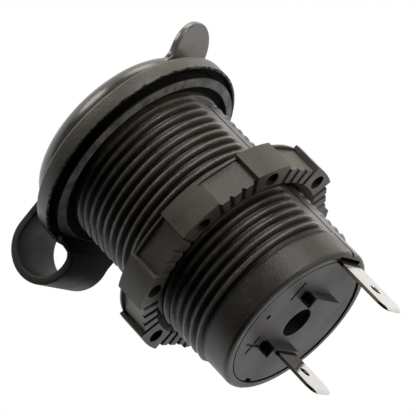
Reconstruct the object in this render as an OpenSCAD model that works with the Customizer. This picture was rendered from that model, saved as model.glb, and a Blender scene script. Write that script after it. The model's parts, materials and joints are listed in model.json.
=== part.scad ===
// Panel-mount 12 volt power socket with a tethered rubber cap and a ring nut.
// The panel seats at Z = 0, the cap faces +Z and the blade terminals point to -Z.
// The ground terminal and the cap's pull tab lie on +X, the strap on -X.

/* [Threaded body] */
// Wall of the body between the contact shell and the thread's root
body_wall = 2.35; // [2:0.05:3]
// Distance from one thread crest to the next
thread_pitch = 1.65; // [1.4:0.05:2]
// Height of the thread, crest to root
thread_depth = 0.8; // [0.5:0.05:0.9]
// Width of the flat top of one crest
crest_width = 0.5; // [0.3:0.05:0.6]
// Plain neck behind the panel seat, before the first groove
neck_length = 1.2; // [0.8:0.1:2]
// Distance from the panel seat to the end of the thread
thread_length = 31.6; // [29:0.1:36]
// Length of the plain collar behind the thread
collar_length = 5; // [4:0.1:8]
// Rounding of the collar's rear edge
collar_round = 0.9; // [0.4:0.1:1.1]
// Depth of the two mould flats along the thread
flat_depth = 0.62; // [0.3:0.02:0.7]

/* [Flange] */
// How far the front flange stands out past the thread
flange_overhang = 4.4; // [3.8:0.05:5.5]
// Thickness of the front flange
flange_thickness = 2.6; // [2:0.1:4]
// Rounding of the flange's front edge
flange_round = 0.35; // [0.1:0.05:0.6]
// Wall left at the flange's edge by the channel behind it
flange_rim = 0.45; // [0.3:0.05:0.8]
// Width of the channel behind the flange
channel_width = 1.6; // [1:0.1:1.9]
// Depth of the channel behind the flange
channel_depth = 1.7; // [0.5:0.1:1.8]
// How much wider the mouth that the cap plugs is than the shell's seat, on the radius
mouth_step = 0.3; // [0.1:0.05:0.8]
// Depth of the mouth below the panel seat
mouth_depth = 1.1; // [1:0.1:2]

/* [Contacts] */
// Inside radius of the metal contact shell
bore_r = 10.55; // [10.4:0.05:10.65]
// Wall of the contact shell
shell_wall = 0.45; // [0.3:0.05:0.5]
// Distance from the shell's closed end to the body's rear face
rear_space = 6.6; // [5.8:0.1:8]
// Width of a blade terminal
blade_width = 6.3; // [4.8:0.1:6.3]
// Thickness of a blade terminal
blade_thickness = 0.5; // [0.4:0.1:0.8]
// Length of a blade outside the body
blade_length = 10.8; // [8:0.1:14]
// Radius of the latch hole in a blade
blade_hole_r = 0.95; // [0.5:0.05:1.1]
// Distance of the positive blade from the axis
positive_offset = 4.6; // [4.4:0.05:5]
// Gap between the ground blade's outer part and the shell
ground_stand_off = 0.75; // [0.2:0.05:0.9]
// Radius of the centre contact button
contact_r = 4.2; // [3.5:0.1:5]
// Radius of the rivet that holds the centre contact
rivet_r = 1.5; // [1.2:0.1:1.8]

/* [Rear plate] */
// Width of the body's rim round the rear plate
rim_wall = 1.52; // [1.3:0.02:1.8]
// Thickness of the rear plate
plate_thickness = 2.2; // [1.8:0.1:3]
// Distance of the two terminal bosses from the axis
boss_offset = 4.95; // [4.8:0.05:5.2]
// Height of the two terminal bosses on the plate
boss_height = 1.85; // [1.2:0.05:2.5]
// Width of a terminal boss
boss_width = 2; // [1.8:0.1:2.4]
// Length of a terminal boss
boss_length = 8; // [7.2:0.1:9]
// Radius of the hole over the rivet
plate_hole_r = 2.7; // [2.2:0.05:2.9]

/* [Seal and strap] */
// Height of the rubber seal between flange and panel
seal_height = 1.4; // [1.2:0.1:2.2]
// How far the seal's lip stands out past the thread where it meets the panel
seal_overhang = 2.95; // [2.4:0.05:3.3]
// Width of the seal's lip
seal_lip_width = 1.4; // [0.8:0.1:1.8]
// Width of the strap
strap_width = 11; // [8:0.5:13]
// Thickness of the strap
strap_thickness = 1.4; // [1:0.1:1.6]
// Outside radius of the strap's loop
loop_r = 6.1; // [5.8:0.05:6.4]
// Distance from the flange's edge to the middle of the strap's loop
loop_offset = 1.25; // [1:0.05:1.8]
// How much wider the strap is on each side where it leaves the seal
strap_flare = 1.5; // [0.5:0.1:2.5]

/* [Cap] */
// How far the cap's edge lies inside the flange's edge
cap_inset = 2.25; // [1.5:0.05:3]
// Height of the cap's rim above the flange
cap_rim_height = 4.5; // [3.8:0.1:5.2]
// Rise of the cap's dome above its rim
cap_dome = 0.6; // [0.3:0.1:1.2]
// Rounding of the cap's edge
cap_round = 3.2; // [2:0.1:3.6]
// Reach of the pull tab past the cap's edge
tab_length = 5.8; // [4.5:0.1:8]
// Width of the pull tab
tab_width = 9.4; // [7:0.2:12]
// Thickness of the pull tab
tab_thickness = 1.2; // [0.9:0.1:1.8]
// Angle by which the pull tab leans forward
tab_lean = 20.5; // [10:0.5:26]

/* [Ring nut] */
// How far the nut's lugs stand out past the thread
lug_height = 4.65; // [4:0.05:6]
// Depth of the nut's recesses between its lugs
recess_depth = 0.9; // [0.5:0.05:1.3]
// Thickness of the nut
nut_thickness = 5.4; // [4.5:0.1:8]
// Distance from the panel seat to the nut's front face
nut_position = 16.8; // [12:0.1:20]
// Angle that one lug takes up
lug_angle = 21; // [14:1:28]
// Radius of the spanner hole in each lug
spanner_hole_r = 1.25; // [0.8:0.05:1.4]
// Width of the radial grooves in the nut's rear face
groove_width = 0.5; // [0.3:0.05:0.7]

/* [Hidden] */
$fn = 96;

// Clearance between pieces that are assembled and stay put
fit_gap = 0.1;
// Clearance between the ring nut and the thread crests
nut_gap = 0.08;
// Depth by which a cut runs past the surface that it opens
cut = 1;

// Clearance of a blade in its slot, and of the rivet in its holes
slip_gap = 0.05;
// Clearance round the rear plate
plate_gap = 0.08;
// Height of the collar above the thread's root
collar_step = 0.3;

// Radii, from the receptacle's bore outward
shell_r = bore_r + shell_wall;
shell_seat_r = shell_r + fit_gap;
root_r = shell_seat_r + body_wall;
thread_r = root_r + thread_depth;
collar_r = root_r + collar_step;
plate_seat_r = collar_r - rim_wall;
plate_r = plate_seat_r - plate_gap;
mouth_r = shell_seat_r + mouth_step;
flange_r = thread_r + flange_overhang;
flat_x = thread_r - flat_depth;

// Levels along the axis
flange_z = seal_height;
front_z = flange_z + flange_thickness;
thread_end = -thread_length;
body_end = thread_end - collar_length;
plate_top = body_end + plate_thickness;
shell_bottom = body_end + rear_space;
blade_tip = body_end - blade_length;

// The seal, and the groove under the flange that holds its web
groove_sink = 0.25;
seal_lip_r = thread_r + seal_overhang;
channel_r = flange_r - flange_rim - channel_width;
seal_root_r = channel_r - slip_gap;
web_z = seal_height / 2 + slip_gap;
spigot_top = seal_height / 2;
seal_groove_r = thread_r - groove_sink;

// The lip in the mouth that stops the contact shell
lip_r = bore_r + 0.15;
lip_bottom = -mouth_depth - 0.5;
shell_top = lip_bottom - fit_gap;

// The narrower end of the shell, round the insulator
shell_step = 0.25;
step_z = shell_bottom + 4;

// The stack on the shell's closed end
insulator_r = bore_r - shell_step - fit_gap;
insulator_thickness = 1.5;
insulator_top = shell_bottom + shell_wall + insulator_thickness;
spigot_r = contact_r + 0.6;
spigot_bottom = shell_bottom - 1.2;
contact_thickness = 0.9;
contact_top = insulator_top + contact_thickness;
foot_bottom = spigot_bottom - blade_thickness;
rivet_hole_r = rivet_r + slip_gap;
rivet_head_r = rivet_r + 0.9;
rivet_head_height = 0.7;

// The end of a terminal boss that faces -Y
boss_end_y = -boss_length / 2 - 0.3;

// Places of the blades
ground_x = shell_r + ground_stand_off + blade_thickness / 2;
ground_weld_x = shell_r + slip_gap;
ground_top = shell_bottom + 9;
blade_slot = blade_width + 0.3;
ground_slot_x = ground_x + blade_thickness / 2 + 0.2;
tip_taper = 0.9;
tip_length = 1.6;

// Marks beside the terminals, and the moulding pip
mark_x = boss_offset + 0.45;
mark_y = -7.2;
mark_length = 3.6;
mark_width = 0.35;
mark_depth = 0.3;
pip_y = -9.4;
pip_r = 0.45;
pip_depth = 0.8;

// The cap and its plug
cap_r = flange_r - cap_inset;
cap_rim_z = front_z + cap_rim_height;
plug_bottom = -mouth_depth + 0.3;
plug_top_r = mouth_r - 0.3;
plug_bottom_r = mouth_r - 1.4;
tab_root_z = front_z + 2.1;

// The strap's loop in the XZ plane: a ring round this centre, hinged at its top
loop_top = cap_rim_z - 0.15;
loop_x = -flange_r - loop_offset;
loop_z = loop_top - loop_r;
leg_x = -seal_lip_r;

// The ring nut
lug_count = 8;
lug_step = 360 / lug_count;
lug_phase = 15;
nut_front = -nut_position;
nut_rear = nut_front - nut_thickness;
nut_r = thread_r + lug_height;
nut_recess_r = nut_r - recess_depth;
nut_bore_r = thread_r + nut_gap;
nut_groove_r = nut_bore_r + 0.55;
hole_circle_r = (nut_bore_r + nut_r) / 2 + 0.35;
hole_depth = 3;
nut_lip = 0.4;
nut_lip_proud = 0.3;
facet_sink = 0.25;
groove_count = 5;
groove_step = 4.6;
groove_depth = 0.5;

// One groove of the thread, as a trapezium open to the outside
module thread_groove(z) {
  root_width = crest_width;
  flank = (thread_pitch - crest_width - root_width) / 2;
  polygon([
    [thread_r + cut, z],
    [thread_r, z],
    [root_r, z - flank],
    [root_r, z - flank - root_width],
    [thread_r, z - thread_pitch + crest_width],
    [thread_r + cut, z - thread_pitch + crest_width]
  ]);
}

// Outline of the body in section, without its grooves
module body_profile() {
  difference() {
    union() {
      translate([0, body_end + collar_round])
        square([collar_r, collar_length - collar_round + cut]);
      translate([0, body_end])
        square([collar_r - collar_round, collar_round + cut]);
      translate([collar_r - collar_round, body_end + collar_round])
        circle(r = collar_round);
      translate([0, thread_end])
        square([thread_r, thread_length + spigot_top]);
      translate([0, spigot_top - cut])
        square([seal_groove_r, 2 * cut + flange_z - spigot_top]);
      translate([0, flange_z])
        square([flange_r, flange_thickness - flange_round]);
      translate([0, flange_z])
        square([flange_r - flange_round, flange_thickness]);
      translate([flange_r - flange_round, front_z - flange_round])
        circle(r = flange_round);
    }
    translate([-collar_r, body_end - cut])
      square([collar_r, front_z - body_end + 2 * cut]);
  }
}

// Outline of the space inside the body
module hollow_profile() {
  mouth_chamfer = 0.4;
  translate([0, -mouth_depth])
    square([mouth_r, front_z + mouth_depth + cut]);
  polygon([
    [0, front_z - mouth_chamfer],
    [mouth_r, front_z - mouth_chamfer],
    [mouth_r + mouth_chamfer + cut, front_z + cut],
    [0, front_z + cut]
  ]);
  translate([0, lip_bottom - cut])
    square([lip_r, 2 * cut]);
  translate([0, body_end - cut])
    square([shell_seat_r, lip_bottom - body_end + cut]);
  translate([0, body_end - cut])
    square([plate_seat_r, plate_thickness + cut]);
}

// The moulded body: flange, neck, thread, collar, and the bore for the shell
module housing() {
  grooves = floor((thread_length - neck_length) / thread_pitch);
  slot_margin = 0.2;
  rim_left = 0.75;
  color([0.13, 0.125, 0.12])
  difference() {
    rotate_extrude() {
      difference() {
        body_profile();
        hollow_profile();
        translate([channel_r, flange_z - cut])
          square([channel_width, channel_depth + cut]);
        for (i = [0 : grooves - 1])
          thread_groove(-neck_length - i * thread_pitch);
      }
    }
    // the two mould flats, on the ground side and on the strap side
    for (side = [-1, 1])
      translate([side * (flat_x + cut), 0, (thread_end - neck_length) / 2])
        cube([2 * cut, 2 * thread_r, thread_length - neck_length], center = true);
    // the slot that the ground blade passes, wider at the rim
    translate([0, -blade_slot / 2, body_end - cut])
      cube([ground_slot_x, blade_slot, ground_top + slot_margin - body_end + cut]);
    translate([0, -blade_slot / 2 - slot_margin, body_end - cut])
      cube([collar_r - rim_left, blade_slot + 2 * slot_margin, plate_thickness + cut]);
  }
}

// Drawn metal shell: the negative contact and the bore that takes the plug
module contact_shell() {
  inner_step_r = bore_r - shell_step;
  color([0.72, 0.70, 0.66])
  rotate_extrude()
    polygon([
      [bore_r, shell_top],
      [shell_r, shell_top],
      [shell_r, step_z],
      [shell_r - shell_step, step_z - shell_step],
      [shell_r - shell_step, shell_bottom],
      [spigot_r + fit_gap, shell_bottom],
      [spigot_r + fit_gap, shell_bottom + shell_wall],
      [inner_step_r, shell_bottom + shell_wall],
      [inner_step_r, step_z - shell_step + slip_gap],
      [bore_r, step_z + slip_gap]
    ]);
}

// Flat blade in the YZ plane, from its tapered tip up to top_z, with a latch hole
module blade(top_z) {
  half = blade_width / 2;
  tip_half = half - tip_taper;
  hole_offset = 0.7;
  rotate([90, 0, 90])
    translate([0, 0, -blade_thickness / 2])
      linear_extrude(blade_thickness)
        difference() {
          polygon([
            [-half, top_z],
            [half, top_z],
            [half, blade_tip + tip_length],
            [tip_half, blade_tip],
            [-tip_half, blade_tip],
            [-half, blade_tip + tip_length]
          ]);
          translate([0, blade_tip + blade_length / 2 - hole_offset])
            circle(r = blade_hole_r);
        }
}

// Ground terminal: a blade that steps inward to its weld on the outside of the shell
module ground_blade() {
  step_start = shell_bottom + 1;
  step_end = step_start + 1;
  color([0.82, 0.80, 0.77]) {
    translate([ground_x, 0, 0])
      blade(step_start);
    rotate([90, 0, 0])
      translate([0, 0, -blade_width / 2])
        linear_extrude(blade_width)
          polygon([
            [ground_x + blade_thickness / 2, step_start],
            [ground_weld_x + blade_thickness, step_end],
            [ground_weld_x + blade_thickness, ground_top],
            [ground_weld_x, ground_top],
            [ground_weld_x, step_end],
            [ground_x - blade_thickness / 2, step_start]
          ]);
  }
}

// Positive terminal: a blade with a foot that the rivet clamps
module positive_blade() {
  foot_end = 3.4;
  color([0.80, 0.78, 0.75])
  difference() {
    union() {
      translate([-positive_offset, 0, 0])
        blade(spigot_bottom);
      translate([-positive_offset - blade_thickness / 2, -blade_width / 2, foot_bottom])
        cube([positive_offset + foot_end, blade_width, blade_thickness]);
    }
    translate([0, 0, foot_bottom - cut])
      cylinder(r = rivet_hole_r, h = blade_thickness + 2 * cut);
  }
}

// Insulating disc on the closed end of the shell, with a spigot through it
module insulator_disc() {
  color([0.30, 0.17, 0.10])
  difference() {
    union() {
      translate([0, 0, shell_bottom + shell_wall])
        cylinder(r = insulator_r, h = insulator_thickness);
      translate([0, 0, spigot_bottom])
        cylinder(r = spigot_r, h = insulator_top - spigot_bottom);
    }
    translate([0, 0, spigot_bottom - cut])
      cylinder(r = rivet_hole_r, h = insulator_top - spigot_bottom + 2 * cut);
  }
}

// Dished contact button that the plug's tip presses on
module centre_contact() {
  crown = 0.1;
  chamfer = 0.3;
  color([0.80, 0.66, 0.36])
  rotate_extrude()
    polygon([
      [rivet_hole_r, insulator_top],
      [contact_r, insulator_top],
      [contact_r, contact_top - chamfer],
      [contact_r - chamfer, contact_top],
      [rivet_head_r + 0.5, contact_top + crown],
      [rivet_hole_r, contact_top + crown]
    ]);
}

// Rivet through contact, insulator and foot, headed over at both ends
module centre_rivet() {
  head_seat = contact_top + 0.1;
  color([0.75, 0.73, 0.70])
  rotate_extrude()
    polygon([
      [0, foot_bottom - rivet_head_height],
      [rivet_head_r - 0.3, foot_bottom - rivet_head_height],
      [rivet_head_r, foot_bottom],
      [rivet_r, foot_bottom],
      [rivet_r, head_seat],
      [rivet_head_r, head_seat],
      [rivet_head_r - 0.5, head_seat + rivet_head_height - 0.15],
      [rivet_head_r - 1.2, head_seat + rivet_head_height],
      [0, head_seat + rivet_head_height]
    ]);
}

// A raised boss for a terminal, open at the end that faces -Y
module terminal_boss(x) {
  translate([x - boss_width / 2, boss_end_y, body_end - boss_height])
    cube([boss_width, boss_length, boss_height + plate_thickness / 2]);
}

// Pocket in the open end of a boss
module boss_pocket(x) {
  wall = 0.3;
  pocket_depth = 0.8;
  floor_sink = 0.4;
  translate([x - boss_width / 2 + wall, boss_end_y - cut, body_end - boss_height + wall])
    cube([boss_width - 2 * wall, cut + pocket_depth, boss_height - wall + floor_sink]);
}

// Slot for one blade through plate and boss
module blade_passage(x) {
  width = blade_thickness + 2 * slip_gap;
  length = blade_width + 2 * slip_gap;
  translate([x - width / 2, -length / 2, body_end - boss_height - cut])
    cube([width, length, boss_height + plate_thickness + 2 * cut]);
}

// Plate that closes the body, with a ring that holds the shell forward
module rear_plate() {
  ring_outer = shell_r - 2 * fit_gap;
  ring_wall = 1;
  notch_depth = 0.7;
  notch_width = 1.6;
  color([0.35, 0.34, 0.345])
  difference() {
    union() {
      translate([0, 0, body_end])
        cylinder(r = plate_r, h = plate_thickness);
      difference() {
        translate([0, 0, plate_top - plate_thickness / 2])
          cylinder(r = ring_outer, h = shell_bottom - slip_gap - plate_top + plate_thickness / 2);
        translate([0, 0, plate_top])
          cylinder(r = ring_outer - ring_wall, h = shell_bottom - plate_top + cut);
      }
      terminal_boss(boss_offset);
      terminal_boss(-boss_offset);
    }
    boss_pocket(boss_offset);
    boss_pocket(-boss_offset);
    blade_passage(-positive_offset);
    // hole over the rivet, and the small moulding pip
    translate([0, 0, body_end - cut])
      cylinder(r = plate_hole_r, h = plate_thickness + 2 * cut);
    translate([0, pip_y, body_end - cut])
      cylinder(r = pip_r, h = cut + pip_depth);
    // notch for the ground blade, and the assembly notch opposite
    translate([ground_x - blade_thickness / 2 - slip_gap, -blade_slot / 2, body_end - cut])
      cube([plate_r, blade_slot, shell_bottom - body_end + 2 * cut]);
    translate([-plate_r - cut, -notch_width / 2, body_end - cut])
      cube([cut + notch_depth, notch_width, plate_thickness + 2 * cut]);
    // minus beside the ground boss, plus beside the positive one
    for (side = [-1, 1])
      translate([side * mark_x - mark_length / 2, mark_y - mark_width / 2, body_end - cut])
        cube([mark_length, mark_width, cut + mark_depth]);
    translate([-mark_x - mark_width / 2, mark_y - mark_length / 2, body_end - cut])
      cube([mark_width, mark_length, cut + mark_depth]);
  }
}

// Strap in section: a leg down from the seal, a sharp bend and the open loop
module strap_profile() {
  inner_r = loop_r - strap_thickness;
  bend = 62;
  heel_round = 0.35;
  outer_end = [loop_x + loop_r * cos(bend), loop_z - loop_r * sin(bend)];
  inner_end = [loop_x + inner_r * cos(bend), loop_z - inner_r * sin(bend)];
  difference() {
    translate([loop_x, loop_z])
      circle(r = loop_r);
    translate([loop_x, loop_z])
      circle(r = inner_r);
    translate([loop_x, loop_z])
      polygon([
        [0, 0],
        [2 * loop_r * cos(bend), -2 * loop_r * sin(bend)],
        [4 * loop_r, 0],
        [4 * loop_r, 4 * loop_r],
        [0, 4 * loop_r]
      ]);
  }
  polygon([
    [leg_x + strap_thickness, seal_height / 2],
    [leg_x, seal_height / 2],
    inner_end,
    outer_end,
    [leg_x + strap_thickness - heel_round, outer_end[1] + 2 * heel_round]
  ]);
}

// Strap seen along the axis: as wide as its loop, wider where it leaves the seal
module strap_outline() {
  half = strap_width / 2;
  flare_start = loop_x + 1.5;
  polygon([
    [loop_x - loop_r - cut, -half],
    [flare_start, -half],
    [leg_x + strap_thickness, -half - strap_flare],
    [leg_x + strap_thickness, half + strap_flare],
    [flare_start, half],
    [loop_x - loop_r - cut, half]
  ]);
}

// Rubber seal under the flange, with the strap moulded on
module seal_strap() {
  web_r = seal_groove_r + fit_gap;
  color([0.09, 0.09, 0.09]) {
    rotate_extrude()
      polygon([
        [web_r, flange_z],
        [seal_root_r, flange_z],
        [seal_lip_r, 0],
        [seal_lip_r - seal_lip_width, 0],
        [seal_lip_r - seal_lip_width - fit_gap, web_z],
        [web_r, web_z]
      ]);
    intersection() {
      rotate([90, 0, 0])
        translate([0, 0, -strap_width])
          linear_extrude(2 * strap_width)
            strap_profile();
      translate([0, 0, loop_z - 2 * loop_r])
        linear_extrude(4 * loop_r)
          strap_outline();
    }
  }
}

// Pull tab with a round end, flat, with its root at the origin
module tab_outline() {
  half = tab_width / 2;
  root = cap_round;
  translate([tab_length / cos(tab_lean) - half, 0])
    circle(r = half);
  translate([-root, -half])
    square([tab_length / cos(tab_lean) - half + root, tab_width]);
}

// Rubber cap: domed lid, tapered plug, pull tab and the end of the strap
module cap() {
  dome_r = (pow(cap_r - cap_round, 2) + pow(cap_dome, 2)) / (2 * cap_dome);
  tongue_reach = cap_inset + loop_offset + cap_round;
  plug_chamfer = 0.3;
  plug_wall = 1.5;
  hollow_rise = 1.2;
  color([0.16, 0.155, 0.15]) {
    rotate_extrude() {
      translate([0, front_z])
        square([cap_r, cap_rim_height - cap_round]);
      translate([0, front_z])
        square([cap_r - cap_round, cap_rim_height]);
      intersection() {
        translate([cap_r - cap_round, cap_rim_z - cap_round])
          circle(r = cap_round);
        translate([0, front_z])
          square([cap_r, cap_rim_height]);
      }
      intersection() {
        translate([0, cap_rim_z + cap_dome - dome_r])
          circle(r = dome_r, $fn = 720);
        translate([0, front_z])
          square([cap_r - cap_round, cap_rim_height + cap_dome]);
      }
      polygon([
        [0, front_z + cut],
        [plug_top_r, front_z + cut],
        [plug_top_r, front_z],
        [plug_bottom_r, plug_bottom + plug_chamfer],
        [plug_bottom_r - plug_chamfer, plug_bottom],
        [plug_bottom_r - plug_chamfer - plug_wall, plug_bottom],
        [plug_bottom_r - 2 * plug_chamfer - plug_wall, plug_bottom + hollow_rise],
        [0, plug_bottom + hollow_rise]
      ]);
    }
    translate([cap_r, 0, tab_root_z])
      rotate([0, -tab_lean, 0])
        linear_extrude(tab_thickness)
          tab_outline();
    rotate([90, 0, 0])
      translate([0, 0, -strap_width / 2])
        linear_extrude(strap_width)
          translate([loop_x, loop_top - strap_thickness])
            square([tongue_reach, strap_thickness]);
  }
}

// One sector of a ring, seen from above
module sector(angle) {
  reach = 2 * nut_r;
  polygon([
    [0, 0],
    [reach * cos(angle / 2), -reach * sin(angle / 2)],
    [reach * cos(angle / 2), reach * sin(angle / 2)]
  ]);
}

// Turns of the nut's own thread, as grooves in its bore
module nut_thread() {
  first_turn = 0.6;
  flank = 0.35;
  crest = 0.25;
  rotate_extrude()
    for (i = [0 : floor(nut_thickness / thread_pitch) - 1])
      translate([0, nut_rear + first_turn + i * thread_pitch])
        polygon([
          [nut_bore_r - cut, 0],
          [nut_bore_r, 0],
          [nut_groove_r, flank],
          [nut_groove_r, flank + crest],
          [nut_bore_r, 2 * flank + crest],
          [nut_bore_r - cut, 2 * flank + crest]
        ]);
}

// Ring nut: recessed facets between lugs, spanner holes, grooved rear face
module ring_nut() {
  facet_r = (nut_recess_r - facet_sink) / cos(lug_step / 2);
  color([0.22, 0.215, 0.20])
  difference() {
    union() {
      translate([0, 0, nut_rear])
        linear_extrude(nut_thickness)
          intersection() {
            circle(r = nut_recess_r);
            rotate(lug_phase)
              circle(r = facet_r, $fn = lug_count);
          }
      translate([0, 0, nut_front - nut_lip])
        cylinder(r = nut_recess_r + nut_lip_proud, h = nut_lip);
      translate([0, 0, nut_rear])
        linear_extrude(nut_thickness)
          intersection() {
            circle(r = nut_r);
            for (i = [0 : lug_count - 1])
              rotate(i * lug_step + lug_phase)
                sector(lug_angle);
          }
    }
    translate([0, 0, nut_rear - cut])
      cylinder(r = nut_bore_r, h = nut_thickness + 2 * cut);
    nut_thread();
    for (i = [0 : lug_count - 1])
      rotate(i * lug_step + lug_phase) {
        translate([hole_circle_r, 0, nut_rear - cut])
          cylinder(r = spanner_hole_r, h = hole_depth + cut, $fn = 32);
        // radial grooves in the rear face between two lugs
        for (k = [0 : groove_count - 1])
          rotate(lug_step / 2 + (k - (groove_count - 1) / 2) * groove_step)
            translate([nut_bore_r - cut, -groove_width / 2, nut_rear - cut])
              cube([nut_r, groove_width, cut + groove_depth]);
      }
  }
}

housing();
contact_shell();
ground_blade();
insulator_disc();
centre_contact();
centre_rivet();
positive_blade();
rear_plate();
seal_strap();
cap();
ring_nut();
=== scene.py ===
# %% [markdown]
# # A panel power socket, seen from behind
# The object is a 12 volt socket for a vehicle's panel: a threaded black body with a flange,
# a ring nut, a grey rear plate with two flat terminals, and a rubber cap on a looped strap.
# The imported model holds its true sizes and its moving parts. This lesson dresses it: it gives
# the body a real helical thread, rounds every moulded edge, and makes each finish by nodes.

# %% Load the frame
import bmesh
import bpy
import json
import math
from mathutils import Matrix, Vector

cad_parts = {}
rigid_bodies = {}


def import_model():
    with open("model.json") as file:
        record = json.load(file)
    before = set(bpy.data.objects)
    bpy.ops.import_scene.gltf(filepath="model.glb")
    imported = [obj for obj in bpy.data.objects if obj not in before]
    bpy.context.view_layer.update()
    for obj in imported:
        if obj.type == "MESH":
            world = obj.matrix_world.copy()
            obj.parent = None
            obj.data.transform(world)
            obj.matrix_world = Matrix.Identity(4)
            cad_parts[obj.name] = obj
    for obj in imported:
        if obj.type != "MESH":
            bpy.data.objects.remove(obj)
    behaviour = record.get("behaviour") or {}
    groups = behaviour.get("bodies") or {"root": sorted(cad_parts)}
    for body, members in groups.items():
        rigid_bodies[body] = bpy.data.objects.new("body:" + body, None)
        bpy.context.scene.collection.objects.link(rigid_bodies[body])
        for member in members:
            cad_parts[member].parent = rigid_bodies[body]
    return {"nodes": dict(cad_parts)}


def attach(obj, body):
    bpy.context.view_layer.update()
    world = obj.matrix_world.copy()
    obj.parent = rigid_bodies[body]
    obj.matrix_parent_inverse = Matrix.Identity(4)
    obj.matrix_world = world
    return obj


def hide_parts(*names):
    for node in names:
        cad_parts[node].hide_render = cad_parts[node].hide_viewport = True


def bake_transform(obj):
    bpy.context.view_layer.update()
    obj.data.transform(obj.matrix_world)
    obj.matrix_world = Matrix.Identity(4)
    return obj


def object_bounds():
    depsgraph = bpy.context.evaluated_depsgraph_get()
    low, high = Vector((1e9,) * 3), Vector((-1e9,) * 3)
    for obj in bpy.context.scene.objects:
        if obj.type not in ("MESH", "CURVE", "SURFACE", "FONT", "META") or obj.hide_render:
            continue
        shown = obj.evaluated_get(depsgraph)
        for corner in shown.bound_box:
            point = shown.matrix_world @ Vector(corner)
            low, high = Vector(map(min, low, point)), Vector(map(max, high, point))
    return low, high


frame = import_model()
cad_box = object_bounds()
scene = bpy.context.scene
MM = 0.001
print("CAD box in mm:", [[round(c / MM, 2) for c in corner] for corner in cad_box])

# %% [markdown]
# ## Small tools
# Two kinds of helper carry the lesson. The first kind makes meshes: a rounded outline, a lathe, a
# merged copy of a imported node, a cut. The second kind adds nodes to a tree, one call to a node.

# %% Mesh tools
MERGE_DISTANCE = 0.002 * MM
DISSOLVE_DISTANCE = MERGE_DISTANCE / 4
SHARP_ANGLE = math.radians(32)
COPLANAR_ANGLE = math.radians(0.6)
STRAIGHT_ANGLE = math.radians(176)
MOST_OF_HALF = 0.49


def mesh_object(name, vertices, faces, edges=()):
    """A new object from vertices in millimetres."""
    mesh = bpy.data.meshes.new(name)
    mesh.from_pydata([tuple(c * MM for c in v) for v in vertices], edges, faces)
    made = bpy.data.objects.new(name, mesh)
    scene.collection.objects.link(made)
    return made


def prisms(name, pairs):
    """One object of several prisms, each given by its first and its last loop of points."""
    vertices = []
    faces = []
    for first, last in pairs:
        base = len(vertices)
        n = len(first)
        vertices += [*first, *last]
        ends = [tuple(range(n)), tuple(range(2 * n - 1, n - 1, -1))]
        sides = [(i, i + n, (i + 1) % n + n, (i + 1) % n) for i in range(n)]
        faces += [tuple(base + k for k in face) for face in ends + sides]
    return mesh_object(name, vertices, faces)


def opened(mesh, weld=True):
    """A mesh opened for editing, with equal points welded."""
    work = bmesh.new()
    work.from_mesh(mesh)
    if weld:
        bmesh.ops.remove_doubles(work, verts=work.verts, dist=MERGE_DISTANCE)
    return work


def closed(work, mesh):
    """Turn all faces outward and write the edited mesh back."""
    bmesh.ops.recalc_face_normals(work, faces=work.faces)
    work.to_mesh(mesh)
    work.free()


def tidy_surface(made):
    """Weld equal points, turn all faces outward and shade smooth with sharp edges kept."""
    work = opened(made.data)
    bmesh.ops.dissolve_degenerate(work, edges=work.edges, dist=DISSOLVE_DISTANCE)
    closed(work, made.data)
    shade(made)
    return made


def shade(made):
    """Smooth shading that stops at sharp edges."""
    made.data.shade_smooth()
    made.data.set_sharp_from_angle(angle=SHARP_ANGLE)


def made_plain(made):
    """Replace an object's mesh by its evaluated one and take its modifiers away."""
    graph = bpy.context.evaluated_depsgraph_get()
    mesh = bpy.data.meshes.new_from_object(made.evaluated_get(graph))
    made.modifiers.clear()
    made.data = mesh
    mesh.name = made.name


def rounded(corners, steps=5):
    """An open outline of (x, y, radius) corners, rounded at all but its two ends."""
    points = [corner[:2] for corner in corners]
    out = [points[0]]
    for i in range(1, len(points) - 1):
        corner = Vector(points[i])
        before = Vector(points[i - 1]) - corner
        after = Vector(points[i + 1]) - corner
        radius = corners[i][2]
        opening = before.angle(after)
        if radius <= 0 or opening > STRAIGHT_ANGLE:
            out.append(tuple(corner))
            continue
        run = radius / math.tan(opening / 2)
        run = min(run, before.length * MOST_OF_HALF, after.length * MOST_OF_HALF)
        first = corner + before.normalized() * run
        last = corner + after.normalized() * run
        middle = (before.normalized() + after.normalized()).normalized()
        centre = corner + middle * run / math.cos(opening / 2)
        reach = (first - centre).length
        for k in range(steps + 1):
            on_chord = first.lerp(last, k / steps)
            out.append(tuple(centre + (on_chord - centre).normalized() * reach))
    out.append(points[-1])
    return out


def lathe(name, outline, columns):
    """A closed solid from an outline of (radius, z) points, turned round the axis."""
    vertices = []
    for j in range(columns):
        angle = 2 * math.pi * j / columns
        vertices += [(r * math.cos(angle), r * math.sin(angle), z) for r, z in outline]
    rows = len(outline)
    faces = []
    for j in range(columns):
        for i in range(rows):
            a = j * rows + i
            b = j * rows + (i + 1) % rows
            c = (j + 1) % columns * rows + (i + 1) % rows
            d = (j + 1) % columns * rows + i
            faces.append((a, b, c, d))
    return tidy_surface(mesh_object(name, vertices, faces))


def packed_copy(name, node):
    """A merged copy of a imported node's mesh, with its flat faces joined."""
    mesh = frame["nodes"][node].data.copy()
    made = bpy.data.objects.new(name, mesh)
    scene.collection.objects.link(made)
    mesh.transform(frame["nodes"][node].matrix_world)
    work = opened(mesh)
    bmesh.ops.dissolve_limit(work, angle_limit=COPLANAR_ANGLE, verts=work.verts, edges=work.edges)
    closed(work, mesh)
    mesh.materials.clear()
    return made


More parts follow.
